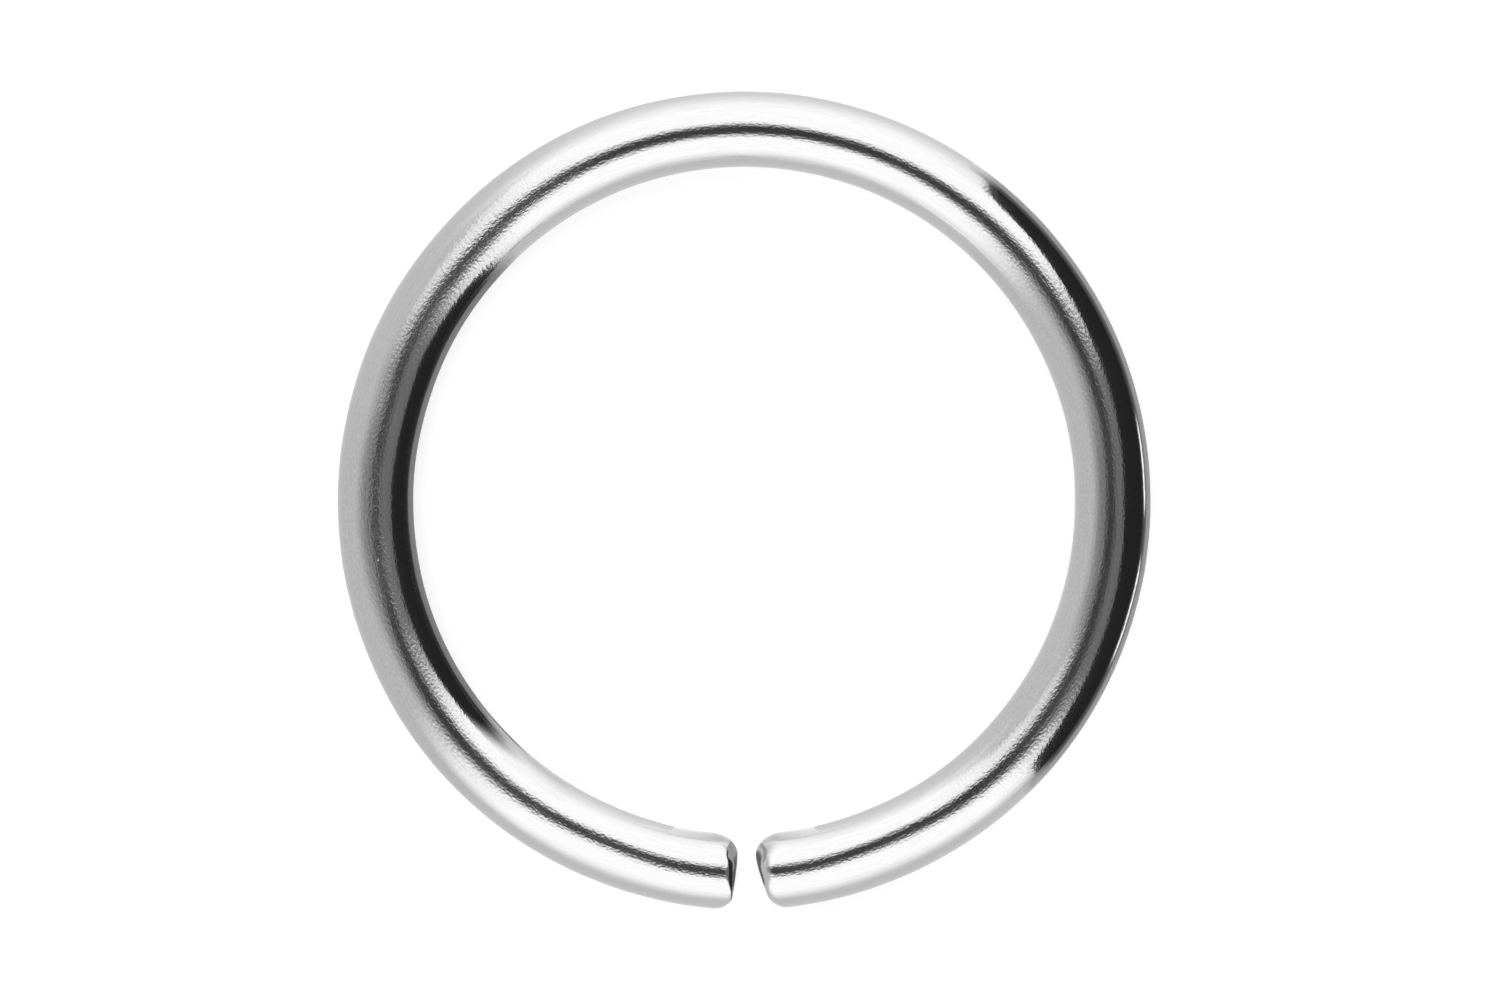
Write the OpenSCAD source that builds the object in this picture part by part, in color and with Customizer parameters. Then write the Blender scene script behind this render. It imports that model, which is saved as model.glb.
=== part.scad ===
// Piercing ring: one round wire bent into an almost closed ring that lies flat on its side.
// Millimetres. The origin is under the ring's middle, on the surface that it lies on, with +Z up.
// The gap is towards -Y. Left and right are -X and +X, as seen from above.

/* [Wire] */
// Diameter of the round wire
wire_d = 0.8; // [0.6:0.05:1.2]

/* [Ring] */
// Radius inside the bend at the ring's two sides
side_bend_r = 3.54; // [3:0.01:6]
// How much tighter the bend is at the gap and opposite it, which leaves the ring a little longer than wide
end_tighter = 0.064; // [0:0.001:0.3]

/* [Left end] */
// Where the left end stops, measured from the ring's middle to the left
left_stop = 0.092; // [0.05:0.001:0.4]
// How far its face leans from square, in degrees, so that the gap opens outwards
left_lean = 7; // [0:0.5:18]
// Radius of the rounded rim of its face
left_rim_r = 0.21; // [0.05:0.01:0.25]

/* [Right end] */
// Where the right end stops, measured from the ring's middle to the right
right_stop = 0.151; // [0.05:0.001:0.4]
// How far its face leans from square, in degrees, so that the gap opens outwards
right_lean = 14.5; // [0:0.5:18]
// Radius of the rounded rim of its face
right_rim_r = 0.23; // [0.05:0.01:0.25]

/* [Hidden] */

// The wire's middle line is an oval of four arcs that meet at 45 degrees, where their tangents agree.
wire_r = wire_d / 2;
side_r = side_bend_r + wire_r;
end_r = side_r - end_tighter;
arc_shift = end_tighter / sqrt(2);
joint_angle = 45;

// How much further the cutter's flank opens than the wire's own side, so that it leaves the wire clear
flank_extra = 4;

// Steps in the round of a rim
rim_steps = 8;

arc_fn = 360;
wire_fn = 64;
rim_fn = 96;

// A stretch of wire that follows an arc about the Z axis
module wire_arc(radius, start, sweep) {
    rotate([0, 0, start])
        rotate_extrude(angle = sweep, $fn = arc_fn)
            translate([radius, 0])
                circle(d = wire_d, $fn = wire_fn);
}

// What is cut away at one end, as a solid turned about the face's normal. Its hollow is the finished tip:
// a flat face, a round rim, and a flank that opens a little more than the wire's own side does.
// Z = 0 is the plane of the rim's centres, and the face is at Z = rim_r.
module end_cutter(rim_r, lean) {
    flank = lean + flank_extra;
    behind = 0.6 * wire_d + rim_r;
    ahead = wire_d + rim_r;
    outer_r = 1.5 * wire_d;
    rim = [
        for (i = [0 : rim_steps])
            let (turn = i * (90 - flank) / rim_steps)
                [wire_r - rim_r + rim_r * sin(turn), rim_r * cos(turn)]
    ];
    rim_end = rim[rim_steps];
    flank_end = [rim_end[0] + (rim_end[1] + behind) * tan(flank), -behind];
    rotate_extrude($fn = rim_fn)
        polygon(concat(
            [[0, ahead], [0, rim_r]],
            rim,
            [flank_end, [outer_r, -behind], [outer_r, ahead]]
        ));
}

// The left arc beside the gap, drawn about the end arcs' centre. The right one is its mirror image.
// The rim's centres lie round the wire's own middle line, so the rim is even all the way round.
module ended_arc(stop, lean, rim_r) {
    start = 270 - joint_angle;
    stop_angle = 270 - asin(stop / end_r);
    spare = atan(wire_d * tan(lean) / end_r) + 1;
    difference() {
        wire_arc(end_r, start, stop_angle + spare - start);
        rotate([0, 0, stop_angle])
            translate([end_r, -rim_r / cos(lean), 0])
                rotate([-90, 0, -lean])
                    end_cutter(rim_r, lean);
    }
}

module ring() {
    color("silver")
        translate([0, 0, wire_r]) {
            translate([-arc_shift, 0, 0])
                wire_arc(side_r, -joint_angle, 2 * joint_angle);
            translate([arc_shift, 0, 0])
                wire_arc(side_r, 180 - joint_angle, 2 * joint_angle);
            translate([0, arc_shift, 0])
                wire_arc(end_r, joint_angle, 2 * joint_angle);
            translate([0, -arc_shift, 0]) {
                ended_arc(left_stop, left_lean, left_rim_r);
                mirror([1, 0, 0])
                    ended_arc(right_stop, right_lean, right_rim_r);
            }
        }
}

ring();
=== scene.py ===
import math
import bpy
import numpy as np
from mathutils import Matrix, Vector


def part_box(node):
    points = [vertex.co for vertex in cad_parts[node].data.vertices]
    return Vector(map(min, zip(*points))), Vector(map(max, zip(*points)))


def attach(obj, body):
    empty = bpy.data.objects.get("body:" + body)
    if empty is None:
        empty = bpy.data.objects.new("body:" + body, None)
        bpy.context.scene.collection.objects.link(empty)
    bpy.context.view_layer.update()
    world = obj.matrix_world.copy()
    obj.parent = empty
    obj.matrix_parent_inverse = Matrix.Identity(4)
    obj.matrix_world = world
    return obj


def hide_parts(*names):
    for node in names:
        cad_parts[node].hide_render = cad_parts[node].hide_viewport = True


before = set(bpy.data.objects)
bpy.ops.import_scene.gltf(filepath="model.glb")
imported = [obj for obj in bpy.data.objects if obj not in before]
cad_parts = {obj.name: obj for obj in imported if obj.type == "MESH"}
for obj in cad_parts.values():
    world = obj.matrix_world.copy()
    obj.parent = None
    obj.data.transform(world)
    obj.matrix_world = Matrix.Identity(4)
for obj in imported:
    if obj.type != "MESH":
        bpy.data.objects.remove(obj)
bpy.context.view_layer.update()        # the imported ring, as the fixed frame
mm = 0.001               # one millimetre in Blender's metres
print("frame loaded:", sorted(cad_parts))


# Camera: straight above the ring, with +Y up in the picture.
camera = {
    "lens": 300,             # mm, a long lens, so the wire shows almost no perspective
    "sensor": 36,            # mm
    "seenWidth": 15.82,      # mm of the ring's own plane from the picture's left to its right
    "aimX": 0.060,           # mm from the ring's middle to the picture's middle
    "aimY": 0.001,
    "nearest": 0.1,          # the nearest and the farthest that it draws, as shares of its distance
    "farthest": 10,
}


# Its distance = the width that it sees * lens / sensor.
def makeCamera(c, height):
    distance = c["seenWidth"] * c["lens"] / c["sensor"] * mm
    data = bpy.data.cameras.new("overheadCamera")
    data.lens = c["lens"]
    data.sensor_width = c["sensor"]
    data.clip_start = c["nearest"] * distance
    data.clip_end = c["farthest"] * distance
    made = bpy.data.objects.new("overheadCamera", data)
    made.location = (c["aimX"] * mm, c["aimY"] * mm, height + distance)
    bpy.context.scene.collection.objects.link(made)
    bpy.context.scene.camera = made


# The ring's own sizes: the corners of its box are in metres, and all the rest in millimetres.
ringLow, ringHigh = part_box("ring")
floorLevel = ringLow.z / mm                  # the surface that the ring lies on
wireRadius = (ringHigh.z - ringLow.z) / 2 / mm
halfWide = ringHigh.x / mm - wireRadius      # the wire's middle line reaches this far along X
halfLong = ringHigh.y / mm - wireRadius      # and this far along Y
meanRadius = (halfWide + halfLong) / 2
arcShift = (halfLong - halfWide) / (2 - math.sqrt(2))    # from the ring's middle to an arc's centre
makeCamera(camera, (ringLow.z + ringHigh.z) / 2)
bpy.context.scene.view_settings.view_transform = "Standard"
print("camera made")


# The wire. Angles are in degrees from +X, anticlockwise as seen from above; lengths are in millimetres.
wire = {
    "rows": 900,             # sections along the bent wire
    "sides": 72,             # points round a section
    "rimRows": 14,           # rows over the round of an end's rim
    "faceRows": 6,           # rows from the rim to the middle of an end's face
    "slack": 0.998,          # share of the wire's radius that is left, so the waves stay inside its size
    # Each end: where it stops, from the ring's middle; how far its face leans, so that the gap opens
    # outwards; and the radius of its rim at the rimPlaces.
    "left": {"stop": 0.092, "lean": 5.5, "rim": (0.155, 0.045, 0.12, 0.19, 0.235)},
    "right": {"stop": 0.163, "lean": 14.5, "rim": (0.155, 0.075, 0.14, 0.26, 0.28)},
    "rimPlaces": (0, 48, 90, 135, 180),      # round the face from the outside of the bend, both ways
    "innerRimLength": 1.4,   # how much longer than high the rim is on the inside of the bend
    "faceDome": 0.006,       # how far the middle of a face stands out
    "cutEdge": 0.4,          # share of the radius over which the polish gives way to the cut face
    # Where the bending tool has turned the crown of the wire: the place, half its length and the turn.
    "turns": [
        {"at": 0, "span": 9, "turn": -3.9},
        {"at": 30, "span": 9, "turn": -1.5},
        {"at": 60, "span": 7, "turn": -0.2},
        {"at": 137, "span": 12, "turn": -2.8},
        {"at": 165, "span": 8, "turn": -4.2},
        {"at": 205, "span": 17, "turn": 1.5},
        {"at": 247, "span": 13, "turn": -7.1},
        {"at": 293, "span": 13, "turn": -6.9},
        {"at": 345, "span": 8, "turn": -2.4},
    ],
    "usualTurn": -0.2,
    "turnWidth": 60,         # how far round the wire from its crown a turn dies away
    # Where handling has worn the polish more or less than its usual 1, and where there are more specks.
    "worn": [
        {"at": 0, "span": 24, "more": 0.0, "specks": 0.8},
        {"at": 35, "span": 9, "more": 0.2, "specks": 0.8},
        {"at": 90, "span": 24, "more": -0.3, "specks": 0.0},
        {"at": 136, "span": 20, "more": 0.8, "specks": 0.3},
        {"at": 180, "span": 22, "more": 0.5, "specks": 0.8},
        {"at": 215, "span": 14, "more": 0.0, "specks": 0.6},
        {"at": 243, "span": 14, "more": 0.3, "specks": 0.0},
        {"at": 322, "span": 12, "more": 0.3, "specks": 0.9},
    ],
    "usualWear": 1.0,
    "usualSpecks": 0.15,
    "sideWear": 0.6,         # the sides of the wire have less wear and less grain than its top and bottom
    "sideGrain": 0.15,
    "wearSpread": 8,         # how closely both keep to the top and the bottom
    "waves": {               # slow waves of the surface, as hand work leaves them
        "seed": 11,
        "count": 60,
        "lengths": (0.5, 5.0),   # along the wire
        "height": 0.00020,       # of a wave 1 mm long, and in proportion for the others
        "tallest": 2.0,          # the length past which a wave gets no higher
        "mostRound": 6,          # most crests round the wire
        "lower": 0.5,            # how much each crest round the wire lowers a wave
    },
}


# Middle line: four arcs that meet at 45 degrees. On each, point = its centre + its radius * (cos a, sin a).
def middleLine(a):
    cosA = np.cos(a)
    sinA = np.sin(a)
    side = np.abs(cosA) > np.abs(sinA)
    radius = np.where(side, halfWide + arcShift, halfLong - arcShift)
    x = radius * cosA - np.where(side, np.sign(cosA) * arcShift, 0)
    y = radius * sinA + np.where(side, 0, np.sign(sinA) * arcShift)
    return x, y


# A value along the wire: usual + the sum of each place's amount * exp(-(way from the place / span)^2).
def alongWire(a, places, amount, usual):
    value = np.full_like(a, usual)
    for place in places:
        away = (np.degrees(a) - place["at"] + 180) % 360 - 180
        value += place[amount] * np.exp(-(away / place["span"]) ** 2)
    return value


# Section radius: r * (1 - turn * q * exp(-(q / width)^2)), with p = angle from the outside over the top
# and q = p's way past the crown, plus waves: h * cos(n p + 2 pi s / length + phase), with s = way along.
def sectionRadius(a, p):
    turned = np.radians(alongWire(a, wire["turns"], "turn", wire["usualTurn"]))
    past = p - math.pi / 2
    dying = np.exp(-(past / math.radians(wire["turnWidth"])) ** 2)
    radius = wireRadius * wire["slack"] * (1 - turned * past * dying)
    waves = wire["waves"]
    rng = np.random.default_rng(waves["seed"])
    shortest, longest = waves["lengths"]
    for i in range(waves["count"]):
        length = shortest * (longest / shortest) ** rng.random()
        crests = rng.integers(0, waves["mostRound"] + 1)
        phase = rng.random() * 2 * math.pi
        height = waves["height"] * min(length, waves["tallest"]) / (1 + waves["lower"] * crests)
        radius += height * np.cos(crests * p + 2 * math.pi * a * meanRadius / length + phase)
    return radius


# Eases from 0 at low to 1 at high: t^2 (3 - 2t).
def fade(value, low, high):
    t = np.clip((value - low) / (high - low), 0, 1)
    return t * t * (3 - 2 * t)


# Eases from 0 to 1 at low and back to 0 at high, each over a soft side.
def between(value, low, high, side):
    return fade(value, low - side, low + side) * fade(-value, -high - side, side - high)


# One end, as rows from the wire's side over the rim to the face's middle: each point's share of the
# section's radius, and its way ahead of the stop. Rim: share = 1 - rim / r * (1 - cos t) and
# ahead = -length * (1 - sin t). Face: share = u * the rim's last share and ahead = dome * (1 - u^2),
# with u = 1 at the rim and 0 in the middle.
def endRows(rim, p):
    way = np.degrees(np.arccos(np.clip(np.cos(p), -1, 1)))
    rimRadius = np.full_like(way, rim[0])
    for i in range(len(rim) - 1):
        first, last = wire["rimPlaces"][i:i + 2]
        rimRadius += (rim[i + 1] - rim[i]) * fade(way, first, last)
    rimLength = rimRadius * (1 + (wire["innerRimLength"] - 1) * fade(way, 90, 180))
    turn = np.linspace(0, math.pi / 2, wire["rimRows"])[:, None]
    share = 1 - rimRadius / wireRadius * (1 - np.cos(turn))
    ahead = -rimLength * (1 - np.sin(turn))
    inwards = np.linspace(1, 0, wire["faceRows"] + 1)[1:-1, None]
    faceShare = share[-1] * inwards
    faceAhead = wire["faceDome"] * (1 - inwards ** 2) + 0 * p
    return np.vstack([share, faceShare]), np.vstack([ahead, faceAhead])


# The whole wire as one grid: rows from the right end's face to the left end's, columns round the wire.
# Point = middle line + share * section radius * (cos p outwards, sin p upwards).
def wirePoints():
    p = math.radians(-90) + np.arange(wire["sides"] + 1) * 2 * math.pi / wire["sides"]
    endRadius = halfLong - arcShift
    ends = {}
    for side, sign in (("left", 1), ("right", -1)):
        end = wire[side]
        share, ahead = endRows(end["rim"], p)
        sheared = ahead - share * wireRadius * np.cos(p) * math.tan(math.radians(end["lean"]))
        stop = math.asin(end["stop"] / endRadius)
        stopAngle = math.radians(270) - stop if side == "left" else stop - math.radians(90)
        ends[side] = (share, stopAngle + sign * sheared / endRadius)
    t = np.linspace(0, 1, wire["rows"])[1:-1, None]
    bodyAngle = (1 - t) * ends["right"][1][0] + t * ends["left"][1][0]
    share = np.vstack([ends["right"][0][::-1], np.ones_like(bodyAngle), ends["left"][0]])
    angle = np.vstack([ends["right"][1][::-1], bodyAngle, ends["left"][1]])
    p = p + 0 * angle
    radius = share * sectionRadius(angle, p)
    x, y = middleLine(angle)
    points = np.stack([
        x + radius * np.cos(p) * np.cos(angle),
        y + radius * np.cos(p) * np.sin(angle),
        np.maximum(wireRadius + radius * np.sin(p), 0),      # none of it dips below what it lies on
    ], axis=-1)
    uv = np.stack([angle * meanRadius, (p - p[0, 0]) * wireRadius], axis=-1)
    worn = alongWire(angle, wire["worn"], "more", wire["usualWear"])
    nearCrown = np.sin(p) ** wire["wearSpread"]
    attributes = {
        "onFace": np.clip((1 - share) / wire["cutEdge"], 0, 1),
        "wear": wire["sideWear"] + (worn - wire["sideWear"]) * nearCrown,
        "grain": wire["sideGrain"] + (worn - wire["sideGrain"]) * nearCrown,
        "specks": alongWire(angle, wire["worn"], "specks", wire["usualSpecks"]),
    }
    return points, uv, attributes


# A closed mesh from a grid whose last column repeats its first, with one point added at each end.
def closedTube(name, points, uv, attributes):
    rows = points.shape[0]
    columns = points.shape[1] - 1
    body = points[:, :-1].reshape(-1, 3)
    poles = np.array([points[0, :-1].mean(0), points[-1, :-1].mean(0)])
    vertices = np.vstack([body, poles]) * mm
    i = np.arange(rows - 1)[:, None]
    j = np.arange(columns)[None, :]
    nextJ = (j + 1) % columns
    quads = np.stack([
        i * columns + j,
        (i + 1) * columns + j,
        (i + 1) * columns + nextJ,
        i * columns + nextJ,
    ], axis=-1).reshape(-1, 4)
    quadUv = np.stack([
        uv[:-1, :-1], uv[1:, :-1], uv[1:, 1:], uv[:-1, 1:],
    ], axis=2).reshape(-1, 2)
    ring = np.arange(columns)
    ringNext = (ring + 1) % columns
    lastRow = (rows - 1) * columns
    firstPole = rows * columns
    fans = np.vstack([
        np.stack([ring, ringNext, np.full(columns, firstPole)], axis=-1),
        np.stack([lastRow + ringNext, lastRow + ring, np.full(columns, firstPole + 1)], axis=-1),
    ])
    fanUv = np.concatenate([
        np.stack([uv[0, :-1], uv[0, 1:], uv[0, :-1]], axis=1).reshape(-1, 2),
        np.stack([uv[-1, 1:], uv[-1, :-1], uv[-1, :-1]], axis=1).reshape(-1, 2),
    ])
    mesh = bpy.data.meshes.new(name)
    mesh.vertices.add(len(vertices))
    mesh.vertices.foreach_set("co", vertices.astype(np.float32).ravel())
    corners = np.concatenate([quads.ravel(), fans.ravel()])
    sizes = np.concatenate([np.full(len(quads), 4), np.full(len(fans), 3)])
    starts = np.concatenate([[0], np.cumsum(sizes)[:-1]])
    mesh.loops.add(len(corners))
    mesh.loops.foreach_set("vertex_index", corners.astype(np.int32))
    mesh.polygons.add(len(sizes))
    mesh.polygons.foreach_set("loop_start", starts.astype(np.int32))
    mesh.polygons.foreach_set("loop_total", sizes.astype(np.int32))
    mesh.polygons.foreach_set("use_smooth", np.ones(len(sizes), bool))
    layer = mesh.uv_layers.new(name="wireMap")
    layer.data.foreach_set("uv", np.concatenate([quadUv, fanUv]).astype(np.float32).ravel())
    for label, values in attributes.items():
        poleValues = [values[0].mean(), values[-1].mean()]
        flat = np.concatenate([values[:, :-1].ravel(), poleValues])
        made = mesh.attributes.new(label, "FLOAT", "POINT")
        made.data.foreach_set("value", flat.astype(np.float32))
    mesh.update()
    mesh.validate()
    tube = bpy.data.objects.new(name, mesh)
    bpy.context.scene.collection.objects.link(tube)
    return tube


points, uv, attributes = wirePoints()
ringWire = closedTube("ring_wire", points, uv, attributes)
ringWire.visible_glossy = False      # the wire mirrors the studio only, not its own far side
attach(ringWire, "root")
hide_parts("ring")
print("wire made:", len(ringWire.data.polygons), "faces")


# Node helpers, shared by the steel and the studio.
def link(tree, output, socket):
    tree.links.new(output, socket)


def maths(tree, operation, *inputs):
    node = tree.nodes.new("ShaderNodeMath")
    node.operation = operation
    for socket, value in zip(node.inputs, inputs):
        if isinstance(value, (int, float)):
            socket.default_value = value
        else:
            link(tree, value, socket)
    return node.outputs[0]


def smoothStep(tree, value, low, high, atLow=0.0, atHigh=1.0):
    node = tree.nodes.new("ShaderNodeMapRange")
    node.interpolation_type = "SMOOTHSTEP"
    link(tree, value, node.inputs["Value"])
    for socket, number in zip(("From Min", "From Max", "To Min", "To Max"), (low, high, atLow, atHigh)):
        node.inputs[socket].default_value = number
    return node.outputs["Result"]


# Cloudy noise from 0 to 1, with its own length along the wire and width round it.
def noise(tree, place, length, width, detail):
    mapping = tree.nodes.new("ShaderNodeMapping")
    mapping.inputs["Scale"].default_value = (1 / length, 1 / width, 1)
    link(tree, place, mapping.inputs["Vector"])
    node = tree.nodes.new("ShaderNodeTexNoise")
    node.inputs["Scale"].default_value = 1
    node.inputs["Detail"].default_value = detail
    link(tree, mapping.outputs["Vector"], node.inputs["Vector"])
    return node.outputs["Fac"]


def attribute(tree, label):
    node = tree.nodes.new("ShaderNodeAttribute")
    node.attribute_name = label
    return node.outputs["Fac"]


# Polished steel: draw marks along the wire, a fine grain and a few pits, all deeper where the polish is
# worn, and fine specks of the grain's size that are a little lighter or darker. Lengths are in millimetres.
steel = {
    "grey": 0.58,
    "roughness": 0.14,           # where the wear is 1
    "roughnessOfWear": 0.08,     # added for each 1 of wear above that
    "roughnessOfCut": 0.10,      # added on the cut faces
    "patchRoughness": 0.04,      # how much it differs between the patches
    "patchSize": 1.25,
    "patchDetail": 3,
    "patchRange": (0.35, 0.65),  # of the noise, over which one kind of patch turns into the other
    "markLength": 0.26,
    "markWidth": 0.028,
    "markDepth": 0.0007,
    "markGrey": 0.015,           # how much lighter or darker the marks are
    "markRange": (0.2, 0.8),
    "grainLength": 0.04,
    "grainWidth": 0.025,
    "grainDepth": 0.0022,
    "fineDetail": 1,             # of the marks and the grain
    "speckGrey": 0.20,           # how much the specks change the grey
    "pitSpacing": 0.13,
    "pitSize": 0.016,
    "pitDepth": 0.0012,
    "pitShare": 0.15,            # how many of the places for a pit have one
}


def makeSteel(c):
    material = bpy.data.materials.new("polishedSteel")
    material.use_nodes = True
    tree = material.node_tree
    shader = tree.nodes["Principled BSDF"]
    shader.inputs["Metallic"].default_value = 1.0
    uvMap = tree.nodes.new("ShaderNodeUVMap")
    uvMap.uv_map = "wireMap"
    place = uvMap.outputs["UV"]
    marks = noise(tree, place, c["markLength"], c["markWidth"], c["fineDetail"])
    grain = noise(tree, place, c["grainLength"], c["grainWidth"], c["fineDetail"])
    patches = noise(tree, place, c["patchSize"], c["patchSize"], c["patchDetail"])

    pits = tree.nodes.new("ShaderNodeTexVoronoi")
    pits.inputs["Scale"].default_value = 1 / c["pitSpacing"]
    link(tree, place, pits.inputs["Vector"])
    chance = tree.nodes.new("ShaderNodeSeparateColor")
    link(tree, pits.outputs["Color"], chance.inputs[0])
    chosen = maths(tree, "LESS_THAN", chance.outputs["Red"], c["pitShare"])
    pit = smoothStep(tree, pits.outputs["Distance"], 0.0, c["pitSize"] / c["pitSpacing"], 1.0, 0.0)
    pit = maths(tree, "MULTIPLY", pit, chosen)

    base = c["roughness"] - c["roughnessOfWear"]
    half = c["patchRoughness"] / 2
    roughness = smoothStep(tree, patches, *c["patchRange"], base - half, base + half)
    roughness = maths(tree, "MULTIPLY_ADD", attribute(tree, "wear"), c["roughnessOfWear"], roughness)
    roughness = maths(tree, "MULTIPLY_ADD", attribute(tree, "onFace"), c["roughnessOfCut"], roughness)
    link(tree, roughness, shader.inputs["Roughness"])

    grey = smoothStep(tree, marks, *c["markRange"], c["grey"] - c["markGrey"], c["grey"] + c["markGrey"])
    speck = maths(tree, "MULTIPLY_ADD", grain, c["speckGrey"], -c["speckGrey"] / 2)
    grey = maths(tree, "MULTIPLY_ADD", speck, attribute(tree, "specks"), grey)
    colour = tree.nodes.new("ShaderNodeCombineColor")
    for socket in ("Red", "Green", "Blue"):
        link(tree, grey, colour.inputs[socket])
    link(tree, colour.outputs["Color"], shader.inputs["Base Color"])

    height = maths(tree, "MULTIPLY", marks, c["markDepth"])
    height = maths(tree, "MULTIPLY_ADD", grain, c["grainDepth"], height)
    height = maths(tree, "MULTIPLY_ADD", pit, -c["pitDepth"], height)
    bump = tree.nodes.new("ShaderNodeBump")
    bump.inputs["Distance"].default_value = mm
    link(tree, maths(tree, "MULTIPLY", height, attribute(tree, "grain")), bump.inputs["Height"])
    link(tree, bump.outputs["Normal"], shader.inputs["Normal"])
    return material


ringWire.data.materials.append(makeSteel(steel))
print("steel made")


# The studio round the ring, as light by direction. Angles are in degrees: azimuth from +X, and tilt down
# from straight above. A card may lie between two azimuths, each with a soft side; it fades in between its
# two inner tilts and out between its two outer ones; and it may lie on one side of straight edges, each
# given as the azimuth and the tilt of a line square to it into the card, and its softness. A later card
# stands in front of an earlier one.
studio = {
    "ceiling": 0.22,
    "below": 0.85,
    "turnsBelow": (69, 78),      # from the ceiling's light to that of the floor and what lies beyond it
    "background": 1.0,           # what the camera itself sees past the floor
    "cards": [
        {"azimuths": (141, 227), "side": 2, "edges": [(172, 116, 20)], "level": 0.79},
        {"azimuths": (133, 164), "side": 14, "inner": (38, 62), "level": 0.84},
        {
            "edges": [(89, 86, 27), (21, 62, 4), (73, 96, 2), (145, 87, 14)],
            "outer": (64, 82),
            "level": 1.22,
        },
        {"azimuths": (30, 132), "side": 12, "edges": [(98, 101, 5)], "outer": (56, 99), "level": 1.67},
        {"azimuths": (221, 323), "side": 12, "edges": [(267, 109, 9)], "outer": (65, 105), "level": 1.68},
        {"azimuths": (43, 117), "side": 29, "inner": (45, 90), "outer": (41, 169), "level": 1.82},
        {"azimuths": (161, 197), "side": 12, "outer": (25, 68), "level": 0.29},
        {"azimuths": (-43, 47), "side": 4, "inner": (97, 107), "level": 0.05},
        {"azimuths": (-43, 46), "side": 4, "inner": (116, 123), "level": 0.32},
        {"outer": (5, 24), "level": 0.058},      # the camera's opening in the ceiling
    ],
    "nearlyUp": 1e-6,            # least part of a direction that is taken as level, so none is divided by 0
}


def makeStudio(c):
    world = bpy.data.worlds.new("studio")
    bpy.context.scene.world = world
    world.use_nodes = True
    tree = world.node_tree
    tree.nodes.clear()
    direction = tree.nodes.new("ShaderNodeTexCoord").outputs["Generated"]
    parts = tree.nodes.new("ShaderNodeSeparateXYZ")
    link(tree, direction, parts.inputs[0])
    x, y, z = parts.outputs
    square = maths(tree, "MULTIPLY_ADD", x, x, maths(tree, "MULTIPLY", y, y))
    flat = maths(tree, "MAXIMUM", maths(tree, "SQRT", square), c["nearlyUp"])
    unitX = maths(tree, "DIVIDE", x, flat)
    unitY = maths(tree, "DIVIDE", y, flat)
    tilt = maths(tree, "DEGREES", maths(tree, "ARCTAN2", flat, z))

    # From one level to the other where the mask is 1: level * (1 - mask) + mask * other.
    def over(level, mask, other):
        kept = maths(tree, "MULTIPLY", level, maths(tree, "SUBTRACT", 1.0, mask))
        return maths(tree, "MULTIPLY_ADD", mask, other, kept)

    # Smooth over a card's side, by the angle from its middle azimuth.
    def azimuthMask(first, last, side):
        middle = math.radians((first + last) / 2)
        half = (last - first) / 2
        towards = maths(tree, "MULTIPLY", unitY, math.sin(middle))
        towards = maths(tree, "MULTIPLY_ADD", unitX, math.cos(middle), towards)
        across = maths(tree, "DEGREES", maths(tree, "ARCCOSINE", towards))
        return smoothStep(tree, across, half - side, half + side, 1.0, 0.0)

    # Smooth over a straight edge, by the direction's part along the line square to it.
    def edgeMask(azimuth, lean, softness):
        azimuth = math.radians(azimuth)
        lean = math.radians(lean)
        dot = tree.nodes.new("ShaderNodeVectorMath")
        dot.operation = "DOT_PRODUCT"
        link(tree, direction, dot.inputs[0])
        dot.inputs[1].default_value = (
            math.sin(lean) * math.cos(azimuth), math.sin(lean) * math.sin(azimuth), math.cos(lean))
        soft = math.sin(math.radians(softness))
        return smoothStep(tree, dot.outputs["Value"], -soft, soft)

    def cardMask(card):
        masks = [edgeMask(*edge) for edge in card.get("edges", [])]
        if "azimuths" in card:
            masks.append(azimuthMask(*card["azimuths"], card["side"]))
        if "inner" in card:
            masks.append(smoothStep(tree, tilt, *card["inner"]))
        if "outer" in card:
            masks.append(smoothStep(tree, tilt, *card["outer"], 1.0, 0.0))
        mask = masks[0]
        for more in masks[1:]:
            mask = maths(tree, "MULTIPLY", mask, more)
        return mask

    level = smoothStep(tree, tilt, *c["turnsBelow"], c["ceiling"], c["below"])
    for card in c["cards"]:
        level = over(level, cardMask(card), card["level"])
    seen = tree.nodes.new("ShaderNodeLightPath").outputs["Is Camera Ray"]
    level = over(level, seen, c["background"])
    background = tree.nodes.new("ShaderNodeBackground")
    background.inputs["Color"].default_value = (1, 1, 1, 1)
    link(tree, level, background.inputs["Strength"])
    output = tree.nodes.new("ShaderNodeOutputWorld")
    link(tree, background.outputs["Background"], output.inputs["Surface"])


makeStudio(studio)


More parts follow.
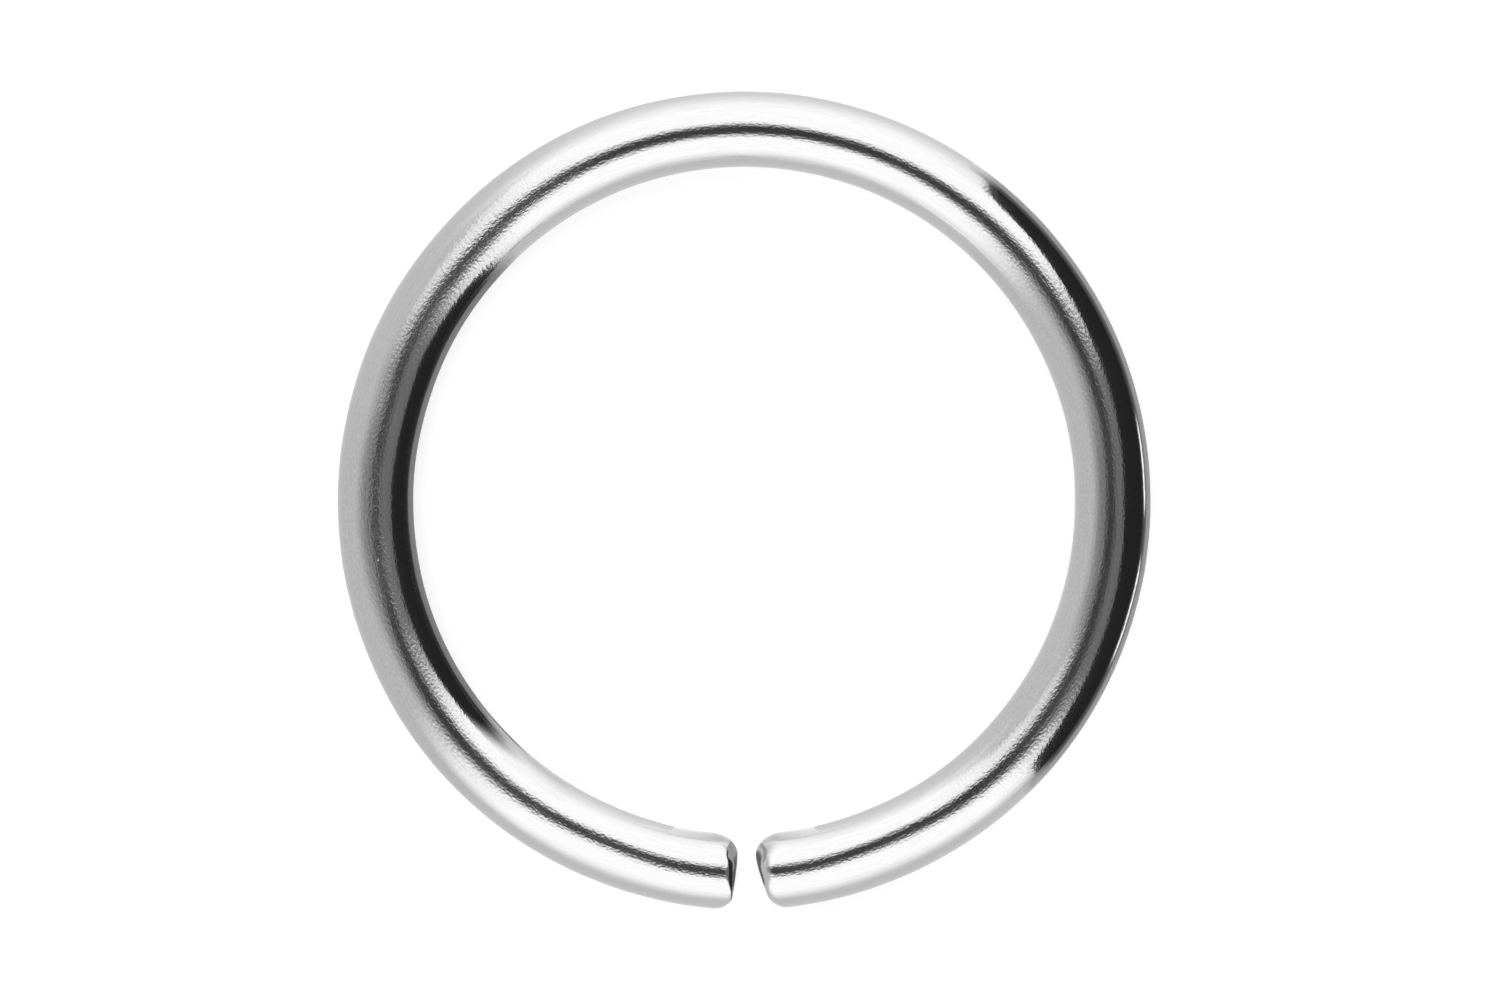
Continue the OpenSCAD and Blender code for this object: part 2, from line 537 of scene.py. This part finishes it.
# Stage pieces that only the ring's reflections see. Lengths are in millimetres from the ring's middle.
# Each is a grid of points that glows, by one number or one for each point. Its cover is 1 where it hides
# what lies behind it and 0 where it is clear.
def reflectedCard(name, grid, glow, cover=1.0):
    rows, columns = grid.shape[:2]
    i = np.arange(rows - 1)[:, None] * columns
    j = np.arange(columns - 1)[None, :]
    quads = np.stack([i + j, i + j + 1, i + columns + j + 1, i + columns + j], axis=-1).reshape(-1, 4)
    mesh = bpy.data.meshes.new(name)
    mesh.from_pydata((grid.reshape(-1, 3) * mm).tolist(), [], quads.tolist())
    for label, values in (("glow", glow), ("cover", cover)):
        layer = mesh.attributes.new(label, "FLOAT", "POINT")
        layer.data.foreach_set("value", np.broadcast_to(values, (rows, columns)).astype(np.float32).ravel())
    made = bpy.data.objects.new(name, mesh)
    bpy.context.scene.collection.objects.link(made)
    made.visible_camera = False
    made.visible_diffuse = False
    made.visible_shadow = False
    material = bpy.data.materials.new(name)
    material.use_nodes = True
    tree = material.node_tree
    shader = tree.nodes["Principled BSDF"]
    shader.inputs["Base Color"].default_value = (0, 0, 0, 1)
    shader.inputs["Specular IOR Level"].default_value = 0
    shader.inputs["Emission Color"].default_value = (1, 1, 1, 1)
    link(tree, attribute(tree, "glow"), shader.inputs["Emission Strength"])
    link(tree, attribute(tree, "cover"), shader.inputs["Alpha"])
    mesh.materials.append(material)


# The dark card stands upright at the ring's right, in the outline of a wide low panel and a taller one.
darkCard = {
    "distance": 23.1,
    "panel": (-21.8, 30.3, 20.5),    # ends along Y, and top
    "panelRound": (5.7, 0.19),
    "tall": (-16.0, 27.7, 25.4),
    "tallRound": (1.9, 0.53),
    "bottom": -7.7,
    "columns": 96,
    "glow": 0.024,
}


# Its top is the higher of two rounded shapes: bottom + (top - bottom) * (1 - |u|^n)^m, with u = -1..1
# between a shape's ends.
def makeDarkCard(c):
    y = np.linspace(c["panel"][0], c["panel"][1], c["columns"])
    tops = []
    for (start, end, top), (n, m) in ((c["panel"], c["panelRound"]), (c["tall"], c["tallRound"])):
        u = np.clip((2 * y - start - end) / (end - start), -1, 1)
        tops.append(c["bottom"] + (top - c["bottom"]) * (1 - np.abs(u) ** n) ** m)
    z = np.stack([np.full_like(y, c["bottom"]), np.maximum(*tops)])
    x = np.full_like(z, c["distance"])
    reflectedCard("darkCard", np.stack([x, y + 0 * z, z], axis=-1), c["glow"])


# A flat piece of floor: point = radius * (cos a, sin a). With it come its degrees and radii, and a share
# that is 1 between its two azimuths and 0 past its soft sides.
def floorGrid(c):
    first, last = c["azimuths"]
    rows, columns = c["grid"]
    degrees = np.linspace(first - c["side"], last + c["side"], rows)[:, None]
    radius = np.linspace(*c["radii"], columns)[None, :]
    a = np.radians(degrees)
    grid = np.stack([radius * np.cos(a), radius * np.sin(a), floorLevel + 0 * radius * a], axis=-1)
    return grid, degrees, radius, between(degrees, first, last, c["side"])


# The floor between the ring and the dark card: how light it looks from the wire's outer half.
darkFloor = {
    "radii": (4.28, 7.0),
    "azimuths": (-42, 53),
    "side": 3,               # degrees over which an end fades
    "grid": (240, 48),       # points round it and along its radius
    "glow": 0.49,
    "from": 5.03,
    "fall": 0.35,
    "power": 0.48,
    "beyond": (0.64, 1.0),   # past its end towards -Y and towards +Y
    "glints": [(-1, 11, 2.0), (-23, -9, 2.0)],      # azimuths and glow of two thin glints at its rim
    "glintSide": 2,          # degrees over which a glint's ends fade
    "glintRadii": (5.50, 5.95),
    "glintEdge": 0.1,
}


# Glow: beyond * (1 - w) + w * glow * exp(-(max((r - from) / fall, 0))^power) + glints, with w = share.
# Each end of it has its own light beyond.
def makeDarkFloor(c):
    grid, degrees, radius, within = floorGrid(c)
    beyond = np.where(degrees < 0, *c["beyond"])
    depth = np.maximum((radius - c["from"]) / c["fall"], 0)
    glow = beyond * (1 - within) + within * c["glow"] * np.exp(-depth ** c["power"])
    ring = between(radius, *c["glintRadii"], c["glintEdge"])
    for start, end, level in c["glints"]:
        glow = glow + level * ring * between(degrees, start, end, c["glintSide"])
    reflectedCard("darkFloor", grid, glow)


# The floor inside the ring at its gap, which looks a little darker than the rest of that side.
gapFloor = {
    "radii": (0.0, 3.46),
    "azimuths": (263, 277),
    "side": 5,
    "grid": (60, 2),
    "glow": 0.87,
    "beyond": 1.25,
}


# Glow: beyond * (1 - w) + w * glow, with w = share.
def makeGapFloor(c):
    grid, degrees, radius, within = floorGrid(c)
    reflectedCard("gapFloor", grid, c["beyond"] * (1 - within) + within * c["glow"])


# A dark strip under the right side's wire hides that floor from the left side's, as the real ring does.
underWire = {
    "azimuths": (-50, 60),
    "columns": 48,
    "top": 0.26,
    "glow": 0.03,
}


# It stands upright on the wire's middle line: (x, y) = middle line, z = from the floor to its top.
def makeUnderWire(c):
    x, y = middleLine(np.radians(np.linspace(*c["azimuths"], c["columns"]))[None, :])
    z = np.array([floorLevel, c["top"]])[:, None]
    reflectedCard("underWire", np.stack([x + 0 * z, y + 0 * z, z + 0 * x], axis=-1), c["glow"])


# Two small cards back to back across the gap, one for each end to mirror, as a painted reflection of the
# other end and painted shade of the gap below it: pale at the top, dark below, and pale again towards the
# inside and the outside of the bend. They follow the wire's outline.
gapCards = {
    "left": {
        "x": -0.01,
        "along": (-4.29, -3.42),
        "paleUntil": 0.11,       # how far below the wire's outline the pale top reaches
        "darkUntil": -3.88,      # towards the outside from here it has no pale top
        "inner": (-3.78, -3.66),
        "pale": 0.50,
        "rise": 0.35,            # towards the inside of the bend its top rises by this
    },
    "right": {
        "x": 0.01,
        "along": (-4.29, -3.55),
        "paleUntil": 0.12,
        "darkUntil": -4.10,
        "inner": (-3.70, -3.60),
        "pale": 0.80,
        "rise": 0.0,
    },
    "grid": (24, 80),            # points down them and along them
    "middle": (0.002, -3.52),    # a point midway between the ends, and how the middle shifts along Y
    "shift": -0.069,
    "depth": 0.05,               # how far below the wire's outline their top is
    "soft": 0.03,                # over which the pale top ends
    "softAlong": 0.05,
    "dark": 0.17,
    "riseAlong": (-3.80, -3.45),
    "outer": (-4.15, -4.07),
}


# Outline of the wire at its gap: r + sqrt(r^2 - (y - middle line)^2). Top: outline + rise - depth. Points
# run down from the top to the floor, on the line x = middle + shift * (y - middle's y).
def makeGapCards(c):
    rows, columns = c["grid"]
    for side in ("left", "right"):
        own = c[side]
        y = np.linspace(*own["along"], columns)
        outline = wireRadius + np.sqrt(np.maximum(wireRadius ** 2 - (y + halfLong) ** 2, 0))
        top = outline + own["rise"] * fade(y, *c["riseAlong"]) - c["depth"]
        z = np.linspace(1, 0, rows)[:, None] * top
        pale = fade(z - outline, -own["paleUntil"] - c["soft"], c["soft"] - own["paleUntil"])
        pale = pale * fade(y, own["darkUntil"] - c["softAlong"], own["darkUntil"])
        pale = 1 - (1 - pale) * (1 - fade(y, *own["inner"])) * fade(y, *c["outer"])
        x = c["middle"][0] + c["shift"] * (y - c["middle"][1]) + own["x"]
        grid = np.stack([x + 0 * z, y + 0 * z, floorLevel + z], axis=-1)
        # Glow: the pale part is painted reflection of the other end's lit top, the dark part painted shade
        # of the gap.
        reflectedCard(side + "GapCard", grid, c["dark"] + (own["pale"] - c["dark"]) * pale)


# A low pale fence close inside the wire, which hides one end of the dark card from there.
paleCard = {
    "radius": 3.2,
    "azimuths": (214, 240),
    "top": 1.1,
    "grid": (24, 48),            # points up it and along it
    "glow": (0.89, 1.58),        # low down, and at the top
    "glowHeights": (0.2, 0.9),
    "fadeIn": (220, 231),        # azimuths at the heights of upright
    "upright": (0.5, 0.7),
    "slant": 14,                 # degrees for each mm below or above those by which it starts sooner
    "fadeOut": (236, 240),
}


# Point: radius * (cos a, sin a), from the floor to its top. Glow: from its low one to its top one with the
# height. Cover: fades in and out along its azimuths, the first with its slant.
def makePaleCard(c):
    rows, columns = c["grid"]
    z = np.linspace(floorLevel, c["top"], rows)[:, None]
    degrees = np.linspace(*c["azimuths"], columns)[None, :]
    lowGlow, topGlow = c["glow"]
    glow = lowGlow + (topGlow - lowGlow) * fade(z, *c["glowHeights"])
    lowest, highest = c["upright"]
    slanted = degrees + c["slant"] * (np.maximum(lowest - z, 0) + np.maximum(z - highest, 0))
    cover = fade(slanted, *c["fadeIn"]) * (1 - fade(degrees, *c["fadeOut"]))
    a = np.radians(degrees) + 0 * z
    grid = np.stack([c["radius"] * np.cos(a), c["radius"] * np.sin(a), z + 0 * a], axis=-1)
    reflectedCard("paleCard", grid, glow, cover)


makeDarkCard(darkCard)
makeDarkFloor(darkFloor)
makeUnderWire(underWire)
makeGapFloor(gapFloor)
makeGapCards(gapCards)
makePaleCard(paleCard)
print("studio made")


# A plain pale floor that glows a little, so that the ring's shadow on it stays faint.
floor = {
    "radius": 600,           # mm
    "sides": 128,
    "grey": 0.80,
    "roughness": 0.9,
    "glow": 0.45,
}


# One flat disc: radius * (cos a, sin a).
def makeFloor(c):
    a = np.arange(c["sides"]) * 2 * math.pi / c["sides"]
    x = c["radius"] * np.cos(a)
    y = c["radius"] * np.sin(a)
    mesh = bpy.data.meshes.new("floor")
    vertices = np.stack([x, y, np.full_like(a, floorLevel)], axis=-1) * mm
    mesh.from_pydata(vertices.tolist(), [], [list(range(c["sides"]))])
    made = bpy.data.objects.new("floor", mesh)
    bpy.context.scene.collection.objects.link(made)
    made.visible_glossy = False
    material = bpy.data.materials.new("paleFloor")
    material.use_nodes = True
    shader = material.node_tree.nodes["Principled BSDF"]
    shader.inputs["Base Color"].default_value = (c["grey"], c["grey"], c["grey"], 1)
    shader.inputs["Roughness"].default_value = c["roughness"]
    shader.inputs["Emission Color"].default_value = (1, 1, 1, 1)
    shader.inputs["Emission Strength"].default_value = c["glow"]
    mesh.materials.append(material)


makeFloor(floor)
print("floor made")
